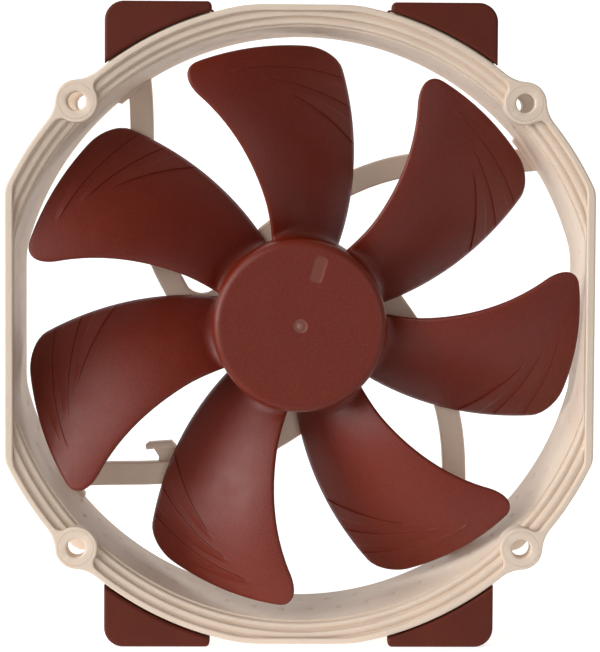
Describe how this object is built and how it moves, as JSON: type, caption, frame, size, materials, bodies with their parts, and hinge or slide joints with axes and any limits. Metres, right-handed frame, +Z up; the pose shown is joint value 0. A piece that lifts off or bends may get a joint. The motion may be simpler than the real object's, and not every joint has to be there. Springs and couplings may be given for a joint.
{
  "type": "case fan",
  "caption": "Round-frame case fan with swept concave blades, a stepped inlet, swept rear struts, screw ears at the corners and soft corner pads.",
  "frame": {"origin": "on the rotor axis, midway between the front and rear faces, which is the centre of the whole box", "axes": "+Z up, +X to the right seen from the front, -Y towards the air inlet; the rotor axis is Y"},
  "size_m": [0.1386, 0.0256, 0.1518],
  "materials": {
    "frame": "fine matte moulded, beige",
    "rotor": "fine-grained satin moulded, red-brown",
    "pad": "soft silicone rubber, dark red-brown",
    "steel": "ground",
    "brass": "turned",
    "magnet": "dull bonded ferrite",
    "lamination": "stacked sheet",
    "copper": "enamelled winding",
    "nylon": "natural nylon",
    "board": "solder-masked",
    "chip": "moulded package",
    "label": "blank satin film"
  },
  "bodies": {
    "housing": {"frame": "frame", "bearing_tube": "brass", "bearing_sleeve": "brass", "oil_seal": "nylon", "thrust_pad": "nylon", "bearing_cap": "steel", "stator_core": "lamination", "front_insulator": "nylon", "rear_insulator": "nylon", "circuit_board": "board", "driver_chip": "chip", "hall_sensor": "chip", "capacitor_1": "chip", "capacitor_2": "chip", "resistor": "chip", "rear_label": "label", "coil_1": "copper", "terminal_pin_1": "steel", "coil_2": "copper", "terminal_pin_2": "steel", "coil_3": "copper", "terminal_pin_3": "steel", "coil_4": "copper", "terminal_pin_4": "steel", "front_pad_top_left": "pad", "front_pad_top_right": "pad", "front_pad_bottom_left": "pad", "front_pad_bottom_right": "pad", "rear_pad_top_left": "pad", "rear_pad_top_right": "pad", "rear_pad_bottom_left": "pad", "rear_pad_bottom_right": "pad"},
    "rotor": {"impeller": "rotor", "rotor_yoke": "steel", "magnet_ring": "magnet", "shaft": "steel", "shaft_bush": "brass", "shaft_clip": "nylon"}
  },
  "joints": [
    {"name": "rotor_spin", "type": "hinge", "parent": "housing", "child": "rotor", "pos_m": [0, 0, 0], "axis": [0, -1, 0], "continuous": true}
  ]
}
